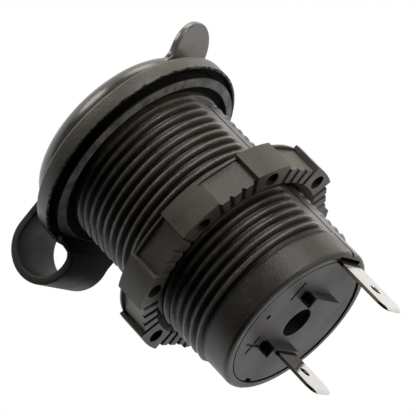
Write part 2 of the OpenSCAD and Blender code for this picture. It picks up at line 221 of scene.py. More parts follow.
def soften(made, width, segments=2, angle=30):
    """Round every edge that is sharper than an angle."""
    bevel = made.modifiers.new("soften", "BEVEL")
    bevel.width = width * MM
    bevel.segments = segments
    bevel.limit_method = "ANGLE"
    bevel.angle_limit = math.radians(angle)
    bevel.miter_outer = "MITER_ARC"
    bevel.use_clamp_overlap = True
    made_plain(made)
    shade(made)
    flatten = made.modifiers.new("flatten", "WEIGHTED_NORMAL")
    flatten.keep_sharp = True
    flatten.weight = 100
    made_plain(made)


def combine(made, other, operation):
    """Cut another solid out of one, or join it on, and remove the other. Both have to be closed."""
    closed(opened(other.data, weld=False), other.data)
    boolean = made.modifiers.new("combine", "BOOLEAN")
    boolean.operation = operation
    boolean.solver = "MANIFOLD"
    boolean.object = other
    made_plain(made)
    bpy.data.objects.remove(other)


def cut_boxes(made, *boxes):
    """Cut boxes, given by their lowest and highest corners, out of a solid."""
    pairs = []
    for (x0, y0, z0), (x1, y1, z1) in boxes:
        loop = ((x0, y0), (x1, y0), (x1, y1), (x0, y1))
        pairs.append([[(x, y, z) for x, y in loop] for z in (z0, z1)])
    combine(made, prisms("cutter", pairs), "DIFFERENCE")


# %% Node tools
def add(tree, kind, inputs=None, **settings):
    """A new node with settings, and with inputs that are values or other nodes' outputs."""
    made = tree.nodes.new(kind)
    for key, value in settings.items():
        setattr(made, key, value)
    for key, value in (inputs or {}).items():
        feed(tree, made.inputs[key], value)
    return made


def feed(tree, socket, value):
    """Link an output into a socket, or set the socket to a plain value."""
    if isinstance(value, bpy.types.NodeSocket):
        tree.links.new(value, socket)
    else:
        socket.default_value = value


def maths(tree, operation, *values):
    """One Math node; gives its output."""
    return add(tree, "ShaderNodeMath", dict(enumerate(values)), operation=operation).outputs[0]


def product(tree, first, *others):
    """Several numbers or masks multiplied."""
    for other in others:
        first = maths(tree, "MULTIPLY", first, other)
    return first


def over(tree, value, limit):
    """Mask of the places where a value is above a limit."""
    return maths(tree, "GREATER_THAN", value, limit)


def under(tree, value, limit):
    """Mask of the places where a value is below a limit."""
    return maths(tree, "LESS_THAN", value, limit)


def between(tree, value, low, high):
    """Mask of the places where a value lies between two limits."""
    return product(tree, over(tree, value, low), under(tree, value, high))


def ramp(tree, value, low, high, start=0.0, end=1.0):
    """A value that eases from start to end while another one passes from low to high."""
    settings = {"Value": value, "From Min": low, "From Max": high, "To Min": start, "To Max": end}
    return add(tree, "ShaderNodeMapRange", settings, interpolation_type="SMOOTHSTEP").outputs[0]


def blended(tree, factor, first, second):
    """Mix of two numbers."""
    return add(tree, "ShaderNodeMix", {0: factor, 2: first, 3: second}, data_type="FLOAT").outputs[0]


def shifted(tree, value, mask, amount):
    """A value moved by an amount where a mask is."""
    return maths(tree, "MULTIPLY_ADD", mask, amount, value)


def split(tree, vector):
    """The X, Y and Z of a vector."""
    return add(tree, "ShaderNodeSeparateXYZ", {"Vector": vector}).outputs


def from_axis(tree, x, y):
    """How far a place is from the object's axis."""
    squares = maths(tree, "ADD", product(tree, x, x), product(tree, y, y))
    return maths(tree, "SQRT", squares)


def new_finish(name):
    """A material with its tree and its shader."""
    material = bpy.data.materials.new(name)
    material.use_nodes = True
    return material, material.node_tree, material.node_tree.nodes["Principled BSDF"]


def named_inputs(tree, settings):
    """An input of the tree for each setting; gives them as they stand inside it."""
    for label, value in settings.items():
        kind = "NodeSocketMaterial" if label == "Material" else "NodeSocketFloat"
        socket = tree.interface.new_socket(label, in_out="INPUT", socket_type=kind)
        if kind == "NodeSocketFloat":
            socket.default_value = value
    return tree.nodes.new("NodeGroupInput").outputs


def shape_tree(name, settings):
    """A geometry tree with a named input for each setting, and its two end nodes."""
    tree = bpy.data.node_groups.new(name, "GeometryNodeTree")
    for direction in ("INPUT", "OUTPUT"):
        tree.interface.new_socket("Geometry", in_out=direction, socket_type="NodeSocketGeometry")
    return tree, named_inputs(tree, settings), tree.nodes.new("NodeGroupOutput")


def shaped(made, tree, settings):
    """Run a geometry tree on an object with these settings and keep the result as a plain mesh."""
    modifier = made.modifiers.new(tree.name, "NODES")
    modifier.node_group = tree
    for item in tree.interface.items_tree:
        if item.in_out == "INPUT" and item.name in settings:
            modifier[item.identifier] = settings[item.name]
    made_plain(made)


def end_tree(tree, geometry, material, end):
    """Close a geometry tree: realize instances, then set the material."""
    real = add(tree, "GeometryNodeRealizeInstances", {"Geometry": geometry})
    dressed = add(tree, "GeometryNodeSetMaterial", {"Geometry": real.outputs[0], "Material": material})
    tree.links.new(dressed.outputs[0], end.inputs[0])


# %% [markdown]
# ## Camera
# The photo looks at the socket from behind and from one side, through a long lens. The view is
# set by where the camera stands around the object, how far it is tilted and rolled, and the
# point that it looks at. A long lens needs a large distance, so lens and distance come together.

# %% Camera
VIEW_AZIMUTH = 15.0
VIEW_ELEVATION = -25.47
VIEW_ROLL = -43.61
VIEW_DISTANCE = 394.1 * MM
LOOKED_AT = Vector((0.88, 5.25, -10.17)) * MM
PHOTO_WIDTH_PX = 415
FOCAL_LENGTH_PX = 2520
SENSOR_WIDTH = 36
CLIP_START = 0.01


def view_axes(azimuth, elevation, roll):
    """Right, up and backward directions of a camera that stands at this azimuth and elevation."""
    a, e, r = (math.radians(x) for x in (azimuth, elevation, roll))
    back = Vector((math.sin(a) * math.cos(e), -math.cos(a) * math.cos(e), math.sin(e)))
    level = Vector((math.cos(a), math.sin(a), 0))
    upright = back.cross(level)
    right = level * math.cos(r) + upright * math.sin(r)
    return right, back.cross(right), back


VIEW_AXES = view_axes(VIEW_AZIMUTH, VIEW_ELEVATION, VIEW_ROLL)
VIEW_RIGHT, VIEW_UP, VIEW_BACK = VIEW_AXES


def placed(axes, place):
    """Matrix that turns an object's own X, Y and Z to three directions and puts it at a place."""
    return Matrix.Translation(place) @ Matrix(axes).transposed().to_4x4()


camera_data = bpy.data.cameras.new("camera")
camera_data.sensor_width = SENSOR_WIDTH
camera_data.lens = FOCAL_LENGTH_PX * SENSOR_WIDTH / PHOTO_WIDTH_PX
camera_data.clip_start = CLIP_START
camera = bpy.data.objects.new("camera", camera_data)
camera.matrix_world = placed(VIEW_AXES, LOOKED_AT + VIEW_BACK * VIEW_DISTANCE)
scene.collection.objects.link(camera)
scene.camera = camera
print("lens in mm:", round(camera_data.lens, 1))

# %% [markdown]
# ## Studio
# A black object on white needs light that comes past it. Large soft lamps stand at the sides and
# behind, so that its round surfaces catch long reflections at their edges. A dark hood, open at
# the object and closed behind the camera, keeps the surfaces that face the lens black. The world
# is white wherever the camera or a reflection looks, and a plain grey light elsewhere.

# %% World and view
AMBIENT_LIGHT = 0.05
scene.view_settings.view_transform = "Standard"


def white_where_seen(tree, lit, target):
    """White light on camera, glossy and transmission rays, and the plain light on all others."""
    path = add(tree, "ShaderNodeLightPath").outputs
    seen = path["Is Camera Ray"]
    for ray in ("Is Glossy Ray", "Is Transmission Ray"):
        seen = maths(tree, "MAXIMUM", seen, path[ray])
    tree.links.new(blended(tree, seen, lit, 1.0), target)


world = bpy.data.worlds.new("studio")
scene.world = world
world.use_nodes = True
background = world.node_tree.nodes["Background"]
background.inputs["Color"].default_value = (1, 1, 1, 1)
white_where_seen(world.node_tree, AMBIENT_LIGHT, background.inputs["Strength"])
print("light off the seen rays:", AMBIENT_LIGHT)


# %% Lamps and cards
LAMP_SIZE = 0.30
CARD_ROUGHNESS = 0.9
SQUARE = ((-1, -1), (1, -1), (1, 1), (-1, 1))


def stage_card(name, place, axes, vertices, faces, colour):
    """A sheet of the studio, which darkens or carries the object but isn't part of it."""
    mesh = bpy.data.meshes.new(name)
    mesh.from_pydata(vertices, [], faces)
    card = bpy.data.objects.new(name, mesh)
    card.matrix_world = placed(axes, place)
    scene.collection.objects.link(card)
    material, _, shader = new_finish(name)
    shader.inputs["Base Color"].default_value = (*colour, 1)
    shader.inputs["Roughness"].default_value = CARD_ROUGHNESS
    mesh.materials.append(material)
    return card


def soft_lamp(name, right, up, back, power, colour):
    """A round lamp at a place given along the view's own right, up and backward directions."""
    data = bpy.data.lights.new(name, "AREA")
    data.shape = "DISK"
    data.size = LAMP_SIZE
    data.energy = power
    data.color = colour
    lamp = bpy.data.objects.new(name, data)
    offset = VIEW_RIGHT * right + VIEW_UP * up + VIEW_BACK * back
    lamp.location = LOOKED_AT + offset
    lamp.rotation_euler = offset.to_track_quat("Z", "Y").to_euler()
    scene.collection.objects.link(lamp)


for lamp in (
    ("top_lamp", 0.16, 0.56, 0.32, 1.9, (0.98, 1.0, 1.0)),
    ("upper_left_lamp", -0.40, 0.48, 0.08, 1.79, (1.0, 0.95, 0.87)),
    ("top_back_lamp", 0.0, 0.64, -0.16, 1.0, (1.0, 0.86, 0.70)),
    ("right_lamp", 0.56, 0.16, 0.32, 1.15, (1.0, 0.89, 0.78)),
    ("low_right_lamp", 0.48, -0.40, 0.24, 0.7, (0.96, 0.96, 1.0)),
    ("right_rim_lamp", 0.40, 0.48, -0.40, 0.32, (1.0, 0.85, 0.7)),
    ("left_lamp", -0.60, 0.10, 0.16, 0.07, (0.95, 0.95, 1.0)),
    ("back_right_lamp", 0.25, 0.02, -0.66, 0.25, (1.0, 0.98, 0.95)),
):
    soft_lamp(*lamp)

# %% Dark hood
HOOD_HALF = 1.0
HOOD_WALL = 0.8
HOOD_EDGE = -0.1
HOOD_COLOUR = (0.012, 0.012, 0.012)
hood = stage_card(
    "dark_hood", LOOKED_AT, VIEW_AXES,
    [(x * HOOD_HALF, y * HOOD_HALF, z) for z in (HOOD_WALL, HOOD_EDGE) for x, y in SQUARE],
    [(0, 1, 2, 3)] + [(k, (k + 1) % 4, (k + 1) % 4 + 4, k + 4) for k in range(4)],
    HOOD_COLOUR,
)
hood.visible_camera = False
print("hood:", hood.name)

# %% [markdown]
# The floor is a pale plane under the terminals' tips. It is a one-sided sheet: seen from above it
# carries the object's shadow, and from below, where the photo's camera stands, it isn't in the way.

# %% Floor
FLOOR_GAP = 0.2 * MM
FLOOR_HALF = 1.5
FLOOR_COLOUR = (0.86, 0.86, 0.86)
floor_z = cad_box[0].z - FLOOR_GAP
floor = stage_card(
    "floor", Vector((0, 0, floor_z)), Matrix.Identity(3),
    [(x * FLOOR_HALF, y * FLOOR_HALF, 0) for x, y in SQUARE], [(0, 1, 2, 3)], FLOOR_COLOUR,
)
for ray in ("visible_diffuse", "visible_glossy", "visible_transmission", "visible_shadow"):
    setattr(floor, ray, False)
tree = floor.active_material.node_tree
shader = tree.nodes["Principled BSDF"]
seen_from_below = add(tree, "ShaderNodeNewGeometry").outputs["Backfacing"]
clear = add(tree, "ShaderNodeBsdfTransparent").outputs["BSDF"]
either = add(tree, "ShaderNodeMixShader", {"Fac": seen_from_below, 1: shader.outputs["BSDF"], 2: clear})
tree.links.new(either.outputs["Shader"], tree.nodes["Material Output"].inputs["Surface"])
print("floor at mm:", round(floor_z / MM, 2))

# %% [markdown]
# ## Finishes
# Every finish starts from the same two facts of moulded plastic: a fine grain, and tiny specks,
# partly dust and partly painted glints. The crests, partly worn and partly a painted highlight,
# the parting line, the lip's painted light and shade and the metal's drawn lines are masks of their
# own. All sit in shared groups that give out heights and masks only, so the gloss stays with each
# material's own shader. An image could carry the same marks, but a mask from the place on the
# object, in millimetres, needs no unwrapping.

# %% Shared shader groups
def place_in_mm(tree):
    """The place on the object, in millimetres."""
    place = add(tree, "ShaderNodeTexCoord").outputs["Object"]
    return add(tree, "ShaderNodeVectorMath", {0: place, "Scale": 1 / MM}, operation="SCALE").outputs[0]


def effect_group(name, settings):
    """A shader group with number inputs; gives it with them and the place on the object."""
    tree = bpy.data.node_groups.new(name, "ShaderNodeTree")
    return tree, named_inputs(tree, settings), place_in_mm(tree)


def with_results(tree, **results):
    """Close a shader group with a number output for each result."""
    for label in results:
        tree.interface.new_socket(label, in_out="OUTPUT", socket_type="NodeSocketFloat")
    end = tree.nodes.new("NodeGroupOutput")
    for label, value in results.items():
        tree.links.new(value, end.inputs[label])
    return tree


def noise(tree, place, scale, detail=3.0, rough=0.55):
    """Noise from 0 to 1."""
    settings = {"Vector": place, "Scale": scale, "Detail": detail, "Roughness": rough}
    return add(tree, "ShaderNodeTexNoise", settings).outputs["Fac"]


def grain_group():
    """Moulded grain: fine height, slow patches, and small bright specks, partly dust and partly painted
    glints.
    """
    tree, given, place = effect_group("moulded_grain", {"Grain per mm": 3.0, "Specks per mm": 2.2})
    fine = noise(tree, place, given["Grain per mm"], 4.0, 0.6)
    slow = noise(tree, place, 0.16)
    cells = add(tree, "ShaderNodeTexVoronoi", {"Vector": place, "Scale": given["Specks per mm"]})
    near = ramp(tree, cells.outputs["Distance"], 0.08, 0.22, 1.0, 0.0)
    lottery = add(tree, "ShaderNodeSeparateColor", {"Color": cells.outputs["Color"]})
    chosen = ramp(tree, lottery.outputs[0], 0.62, 0.70)
    patches = ramp(tree, slow, 0.35, 0.65)
    return with_results(tree, Height=fine, Patches=patches, Specks=product(tree, near, chosen))


def crest_group():
    """Masks of the thread's crests, partly wear and partly a painted highlight, broken by noise, and of
    painted shade in its roots.
    """
    tree, given, place = effect_group("crest_wear_and_highlight", {
        "Low": 13.8, "High": 14.2, "Root low": 13.5, "Root high": 13.85, "Rear": -31.3, "Front": 0.6,
    })
    x, y, z = split(tree, place)
    reach = from_axis(tree, x, y)
    crest = ramp(tree, reach, given["Low"], given["High"])
    broken = ramp(tree, noise(tree, place, 1.1, 4.0), 0.3, 0.6, 0.35, 1.0)
    deep = ramp(tree, reach, given["Root low"], given["Root high"], 1.0, 0.0)
    threaded = between(tree, z, given["Rear"], given["Front"])
    return with_results(tree, Mask=product(tree, crest, broken), Roots=product(tree, deep, threaded))


def seam_group():
    """Masks of the parting line, of painted sheen on its two flats, of painted light on the flange's band,
    and of painted shade at the flange's ragged rear edge and in hollows.
    """
    tree, given, place = effect_group("parting_line_and_painted_light", {
        "Width": 0.28, "Line front": -1.5,
        "Flat low": 13.3, "Flat high": 13.55, "Flat half": 4.6, "Thread R": 14.5,
        "Rim R": 18.0, "Rim rear": 1.0, "Edge Z": 1.38, "Ragged": 0.45,
        "Bore R": 13.2, "Bore X": -13.3, "Bore rear": -36.5, "Bore front": -1.2,
        "Slot inner": 9.0, "Slot outer": 12.86, "Slot half": 3.5, "Slot rear": -36.2,
        "Channel R": 18.3, "Channel rear": 1.3, "Channel front": 3.4,
    })
    x, y, z = split(tree, place)
    off = maths(tree, "ABSOLUTE", y)
    reach = from_axis(tree, x, y)
    line = ramp(tree, off, product(tree, given["Width"], 0.92), given["Width"], 1.0, 0.0)
    line = product(tree, line, under(tree, z, given["Line front"]))

    flat = ramp(tree, maths(tree, "ABSOLUTE", x), given["Flat low"], given["Flat high"])
    flat = product(tree, flat, under(tree, off, given["Flat half"]), under(tree, reach, given["Thread R"]))

    # Painted shade: a ragged near-black band along the flange's rear edge.
    uneven = maths(tree, "SUBTRACT", noise(tree, place, 1.3, 4.0, 0.7), 0.48)
    edge = maths(tree, "ADD", given["Edge Z"], product(tree, uneven, given["Ragged"], 4.0))
    rim = product(tree, over(tree, reach, given["Rim R"]), over(tree, z, given["Rim rear"]))
    ragged_shade = product(tree, rim, under(tree, z, edge))

    # Painted shade in the bore, the terminal's slot and the channel under the flange.
    bore = product(tree, under(tree, reach, given["Bore R"]), over(tree, x, given["Bore X"]),
                   between(tree, z, given["Bore rear"], given["Bore front"]))
    slot = product(tree, between(tree, x, given["Slot inner"], given["Slot outer"]),
                   under(tree, off, given["Slot half"]), over(tree, z, given["Slot rear"]))
    channel = product(tree, under(tree, reach, given["Channel R"]),
                      between(tree, z, given["Channel rear"], given["Channel front"]))
    hollow = maths(tree, "MAXIMUM", maths(tree, "MAXIMUM", bore, slot), channel)
    return with_results(tree, Mask=line, Flash=ragged_shade, Hollow=hollow, Rim=rim, Flat=flat)


def lip_group():
    """Masks of a painted highlight on the lip ring, of painted shade inside it and at the strap's root,
    and of painted light on the strap's sides.
    """
    tree, given, place = effect_group("painted_lip_light", {
        "Inner": 15.75, "Outer": 17.15, "Height": 0.45, "Inside Z": 0.03,
        "Root far": -23.0, "Root near": -18.5, "Root Z": -0.1, "Side half": 5.25, "Side X": -18.0,
    })
    x, y, z = split(tree, place)
    reach = from_axis(tree, x, y)
    ring = between(tree, reach, given["Inner"], given["Outer"])
    ring = product(tree, ring, under(tree, z, given["Height"]))
    # Painted highlight on the seal's lip ring, streaked like a reflection.
    streaks = ramp(tree, noise(tree, place, 0.45, 3.0, 0.6), 0.35, 0.62, 0.45, 1.0)
    # Painted shade inside the lip and at the strap's root.
    inside = product(tree, under(tree, reach, given["Inner"]), over(tree, z, given["Inside Z"]))
    root = ramp(tree, x, given["Root far"], given["Root near"])
    hollow = maths(tree, "MAXIMUM", inside, product(tree, root, under(tree, z, given["Root Z"])))
    edge = over(tree, maths(tree, "ABSOLUTE", y), given["Side half"])
    edge = product(tree, edge, under(tree, x, given["Side X"]))
    return with_results(tree, Mask=product(tree, ring, streaks), Hollow=hollow, Side=edge)


def tab_light_group():
    """Mask of painted light on the part beyond a distance along X, the pull tab's face, uneven by noise.
    """
    tree, given, place = effect_group("painted_tab_light", {"Start": 15.8, "End": 17.0})
    mask = ramp(tree, split(tree, place)[0], given["Start"], given["End"])
    light_marks = ramp(tree, noise(tree, place, 0.3, 2.0), 0.3, 0.7, 0.8, 1.0)
    return with_results(tree, Mask=product(tree, mask, light_marks))


def drawn_group():
    """Lines along the axis, as a drawing tool leaves them, stains, a strip's sheared sides, and painted
    shade at its root.
    """
    tree, given, place = effect_group("drawn_lines", {
        "Lines per mm": 5.0, "Edge": 3.1, "Root Z": -37.7, "Root X": 12.0, "Root slope": 0.09,
    })
    stretched = add(tree, "ShaderNodeVectorMath", {0: place, 1: (1.0, 1.0, 0.03)}, operation="MULTIPLY")
    lines = noise(tree, stretched.outputs[0], given["Lines per mm"])
    stains = ramp(tree, noise(tree, place, 0.55, 4.0), 0.5, 0.72)
    x, y, z = split(tree, place)
    sheared = over(tree, maths(tree, "ABSOLUTE", y), given["Edge"])
    from_ground = maths(tree, "SUBTRACT", x, given["Root X"])
    lower = shifted(tree, given["Root Z"], from_ground, given["Root slope"])
    root = ramp(tree, maths(tree, "SUBTRACT", z, lower), -0.3, 0.35)
    return with_results(tree, Height=lines, Stains=stains, Sheared=sheared, Root=root)


GRAIN = grain_group()
CRESTS = crest_group()
SEAM = seam_group()
LIP = lip_group()
TAB_LIGHT = tab_light_group()
DRAWN = drawn_group()
print("shared groups:", [g.name for g in (GRAIN, CRESTS, SEAM, LIP, TAB_LIGHT, DRAWN)])

# %% [markdown]
# Two functions make all ten finishes. Moulded plastic and rubber lie between two close colours, and
# metal lies between a clean and a stained one. What a single piece has besides, such as the body's
# crests, partly worn and partly a painted highlight, or the painted highlight on the lip's ring, is
# laid over that where it is asked for.

# %% Materials
NEAR_BLACK = (0.002, 0.002, 0.002)
ROOT_SHADE = (0.006, 0.006, 0.005)
SPECK_DUST_AND_GLINT = (0.5, 0.48, 0.45)
FLAT_SHEEN = (0.16, 0.156, 0.15)
FLANGE_RIM_LIGHT = (0.078, 0.073, 0.062)
STRAP_SIDE_LIGHT = (0.040, 0.037, 0.032)
SHEARED_SIDE = (0.34, 0.29, 0.22)
BLADE_ROOT_SHADE = (0.02, 0.018, 0.014)
CREST_WEAR_AND_HIGHLIGHT = 2.2
GROOVE_DEPTH = -2.5
COAT_ROUGHNESS = 0.2


def colours(tree, factor, first, second):
    """Mix of two colours."""
    first, second = (v if isinstance(v, bpy.types.NodeSocket) else (*v, 1) for v in (first, second))
    return add(tree, "ShaderNodeMix", {0: factor, 6: first, 7: second}, data_type="RGBA").outputs[2]


def marks(tree, group, inputs=None):
    """The outputs of a shared group in a material's tree."""
    return add(tree, "ShaderNodeGroup", inputs, node_tree=group).outputs


def dress(tree, shader, colour, smooth, height, strength, distance):
    """Feed a colour, a roughness and a bump height into the shader."""
    settings = {"Height": height, "Strength": strength, "Distance": distance * MM}
    bump = add(tree, "ShaderNodeBump", settings).outputs[0]
    for label, value in (("Base Color", colour), ("Roughness", smooth), ("Normal", bump)):
        tree.links.new(value, shader.inputs[label])


def plastic(name, dark, light, roughness, grain=3.0, bump=0.035, glint=0.25,
            threaded=False, lip=None, tab_light=None, coat=0.0):
    """Moulded plastic or rubber: two close colours, a grain, specks that are partly painted glints, and
    wear and painted light and shade if asked.
    """
    material, tree, shader = new_finish(name)
    fine = marks(tree, GRAIN, {"Grain per mm": grain})
    colour = colours(tree, fine["Patches"], dark, light)
    smooth = shifted(tree, roughness - 0.05, fine["Patches"], 0.10)
    height = fine["Height"]
    if threaded:
        # Crests lighter, partly wear and partly a painted highlight; roots darker, painted shade.
        light_marks = marks(tree, CRESTS)
        colour = colours(tree, light_marks["Mask"], colour, tuple(CREST_WEAR_AND_HIGHLIGHT * c for c in light))
        colour = colours(tree, light_marks["Roots"], colour, ROOT_SHADE)
        smooth = shifted(tree, smooth, light_marks["Mask"], -0.08)
    # Bright specks: partly dust, partly painted glints.
    colour = colours(tree, product(tree, fine["Specks"], glint), colour, SPECK_DUST_AND_GLINT)
    if threaded:
        line = marks(tree, SEAM)
        # Painted sheen on the mould flats.
        colour = colours(tree, product(tree, line["Flat"], 0.6), colour, FLAT_SHEEN)
        colour = colours(tree, line["Mask"], colour, NEAR_BLACK)
        smooth = shifted(tree, smooth, line["Flat"], -0.04)
        # Painted light: the flange's outer band is made lighter where it catches the lamps.
        colour = colours(tree, line["Rim"], colour, FLANGE_RIM_LIGHT)
        # Painted shade: near black at the flange's ragged rear edge and in the hollows.
        unlit = maths(tree, "MAXIMUM", line["Flash"], line["Hollow"])
        colour = colours(tree, unlit, colour, NEAR_BLACK)
        smooth = shifted(tree, smooth, unlit, 0.55)
        height = shifted(tree, height, line["Mask"], GROOVE_DEPTH)
    if lip:
        # Painted highlight on the lip ring, painted shade in the hollows, painted light on the strap's
        # sides.
        lip_light_and_shade = marks(tree, LIP)
        colour = colours(tree, lip_light_and_shade["Mask"], colour, lip)
        colour = colours(tree, lip_light_and_shade["Hollow"], colour, NEAR_BLACK)
        colour = colours(tree, lip_light_and_shade["Side"], colour, STRAP_SIDE_LIGHT)
        smooth = shifted(tree, smooth, lip_light_and_shade["Hollow"], 0.5)
    if tab_light:
        # Painted light on the pull tab's face.
        tab_lit = marks(tree, TAB_LIGHT)
        colour = colours(tree, tab_lit["Mask"], colour, tab_light)
    shader.inputs["Coat Weight"].default_value = coat
    shader.inputs["Coat Roughness"].default_value = COAT_ROUGHNESS
    dress(tree, shader, colour, smooth, height, 0.6, bump)
    return material


def metal(name, clean, stained, roughness, lines, bump=0.0008, sheared=False):
    """Plated or bare metal with drawn lines and dull stains, the sheared sides of a strip, and painted
    shade at its root.
    """
    material, tree, shader = new_finish(name)
    drawn = marks(tree, DRAWN, {"Lines per mm": lines})
    colour = colours(tree, drawn["Stains"], clean, stained)
    smooth = shifted(tree, roughness, drawn["Stains"], 0.08)
    if sheared:
        colour = colours(tree, drawn["Sheared"], colour, SHEARED_SIDE)
        smooth = shifted(tree, smooth, drawn["Sheared"], 0.5)
        # Painted shade where the blade goes into its slot.
        colour = colours(tree, drawn["Root"], colour, BLADE_ROOT_SHADE)
        smooth = shifted(tree, smooth, drawn["Root"], 0.6)
    shader.inputs["Metallic"].default_value = 1.0
    dress(tree, shader, colour, smooth, drawn["Height"], 0.5, bump)
    return material


BODY = plastic("body_finish", (0.030, 0.027, 0.022), (0.046, 0.041, 0.033), 0.39,
               grain=3.6, bump=0.095, glint=0.35, threaded=True)
PLATE = plastic("plate_finish", (0.050, 0.047, 0.047), (0.072, 0.067, 0.069), 0.46,
                grain=2.0, bump=0.02, glint=0.05)
NUT = plastic("nut_finish", (0.056, 0.052, 0.042), (0.080, 0.074, 0.061), 0.44,
              bump=0.08, glint=0.12)
# The strap's lip colour is a painted highlight on the seal's lip ring.
STRAP = plastic("strap_finish", (0.004, 0.004, 0.004), (0.007, 0.007, 0.007), 0.62,
                bump=0.02, glint=0.02, lip=(0.28, 0.285, 0.29))
# The cap's tab colour is painted light on the pull tab's face.
CAP = plastic("cap_finish", (0.022, 0.020, 0.018), (0.034, 0.031, 0.028), 0.34,
              bump=0.012, glint=0.08, tab_light=(0.16, 0.15, 0.14), coat=0.5)
BLADE = metal("blade_finish", (0.64, 0.62, 0.59), (0.52, 0.48, 0.42), 0.15, 1.2, 0.0003, sheared=True)
SHELL = metal("shell_finish", (0.60, 0.58, 0.54), (0.36, 0.33, 0.28), 0.30, 2.0)
RIVET = metal("rivet_finish", (0.62, 0.60, 0.56), (0.40, 0.36, 0.30), 0.32, 3.0)
BRASS = metal("brass_finish", (0.72, 0.55, 0.26), (0.34, 0.22, 0.10), 0.30, 2.5)
PHENOLIC = plastic("phenolic_finish", (0.10, 0.045, 0.022), (0.16, 0.08, 0.04), 0.6,
                   grain=1.4, bump=0.03)
SLOTS = {
    "body_plastic": BODY, "plate_plastic": PLATE, "nut_plastic": NUT, "strap_rubber": STRAP,
    "cap_rubber": CAP, "plated_blade": BLADE, "plated_shell": SHELL, "plated_rivet": RIVET,
    "brass_contact": BRASS, "phenolic": PHENOLIC,
}
print("finishes:", len(SLOTS))


def settle(made, body, slot, *nodes):
    """Give a piece its finish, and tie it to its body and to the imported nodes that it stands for."""
    made.data.materials.clear()
    made.data.materials.append(SLOTS[slot])
    if body:
        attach(made, body)
    if nodes:
        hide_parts(*nodes)
    print(made.name, len(made.data.polygons), "faces")


# %% [markdown]
# ## The threaded body
# The body is one moulding: flange, neck, thread and rear collar. It could be a plain sleeve with a
# swept groove cut out of it, but such a cut leaves ragged ends. Here it is turned from one closed
# outline, and the sleeve's rows of points already climb like a right-hand screw, one pitch a turn.
# Every point carries its place in the turn, so the geometry tree only has to move it in or out.
# The last hole, where the first and the last turn meet, is filled: a later cut needs a closed solid.

# %% Body blank
PITCH = 1.65
THREAD_TOP = -0.3
THREAD_END = -31.6
ROOT_R = 13.45
CREST_R = 14.25
FLAT_R = 13.63
NECK_R = 14.0
NECK_FRONT = 0.7
COLLAR_R = 13.75
BODY_END = -36.6
SEAT_R = 12.28
SEAT_Z = -34.4
BORE_R = 11.1
STOP_R = 10.7
STOP_REAR = -1.6
STOP_FRONT = -1.1
MOUTH_R = 11.4
FLANGE_R = 18.65
FLANGE_FRONT = 4.0
FLANGE_REAR = 1.4
CHANNEL_OUTER = 18.2
CHANNEL_INNER = 16.6
CHANNEL_FLOOR = 3.1
BODY_COLUMNS = 208
ROWS_PER_TURN = 16
CROWDING = 0.2

below = rounded([
    (COLLAR_R, THREAD_END - 0.1, 0), (COLLAR_R, BODY_END, 0.9), (SEAT_R, BODY_END, 0.12),
    (SEAT_R, SEAT_Z, 0), (BORE_R, SEAT_Z, 0), (BORE_R, STOP_REAR, 0.1), (STOP_R, STOP_REAR, 0.1),
    (STOP_R, STOP_FRONT, 0.1), (MOUTH_R, STOP_FRONT, 0.1), (MOUTH_R, FLANGE_FRONT - 0.4, 0.1),
    (MOUTH_R + 0.4, FLANGE_FRONT, 0.1), (FLANGE_R, FLANGE_FRONT, 0.35), (FLANGE_R, FLANGE_REAR, 0.1),
    (CHANNEL_OUTER, FLANGE_REAR, 0.1), (CHANNEL_OUTER, CHANNEL_FLOOR, 0.3),
    (CHANNEL_INNER, CHANNEL_FLOOR, 0.3), (CHANNEL_INNER, FLANGE_REAR, 0), (NECK_R, FLANGE_REAR, 0),
    (NECK_R, NECK_FRONT, 0), (CREST_R, NECK_FRONT, 0.05), (CREST_R, THREAD_TOP + 0.1, 0),
])
rows = int((THREAD_TOP - THREAD_END) / PITCH * ROWS_PER_TURN) + ROWS_PER_TURN + 1
vertices = []
turns = []
sleeve = []
for j in range(BODY_COLUMNS + 1):
    share = j / BODY_COLUMNS
    angle = 2 * math.pi * share - CROWDING * math.sin(4 * math.pi * share)
    turn = angle / (2 * math.pi)
    for i in range(rows):
        z = THREAD_TOP + PITCH * (turn - i / ROWS_PER_TURN)
        z = min(THREAD_TOP, max(THREAD_END, z))
        vertices.append((CREST_R * math.cos(angle), CREST_R * math.sin(angle), z))
        turns.append(z / PITCH - turn)
        sleeve.append(1.0)
    for r, z in below:
        vertices.append((r * math.cos(angle), r * math.sin(angle), z))
        turns.append(0.0)
        sleeve.append(0.0)
count = rows + len(below)
faces = []
for j in range(BODY_COLUMNS):
    for i in range(count):
        a = j * count + i
        b = j * count + (i + 1) % count
        faces.append((a, b, b + count, a + count))
body = mesh_object("threaded_body", vertices, faces)
for label, values in (("turn", turns), ("sleeve", sleeve)):
    attribute = body.data.attributes.new(label, "FLOAT", "POINT")
    attribute.data.foreach_set("value", values)
work = opened(body.data)
bmesh.ops.dissolve_degenerate(work, edges=work.edges, dist=DISSOLVE_DISTANCE)
bmesh.ops.holes_fill(work, edges=[edge for edge in work.edges if edge.is_boundary], sides=4)
closed(work, body.data)
print("body blank:", len(body.data.vertices), "points")

# %% [markdown]
# The tree measures how far a point is from the middle of the nearest crest, and eases its radius
# from crest to root. It fades the groove in behind the neck and out at the collar. Two mould flats
# limit the radius on +X and -X, and there the groove fills up to the flat, which leaves the
# crests ending in points.

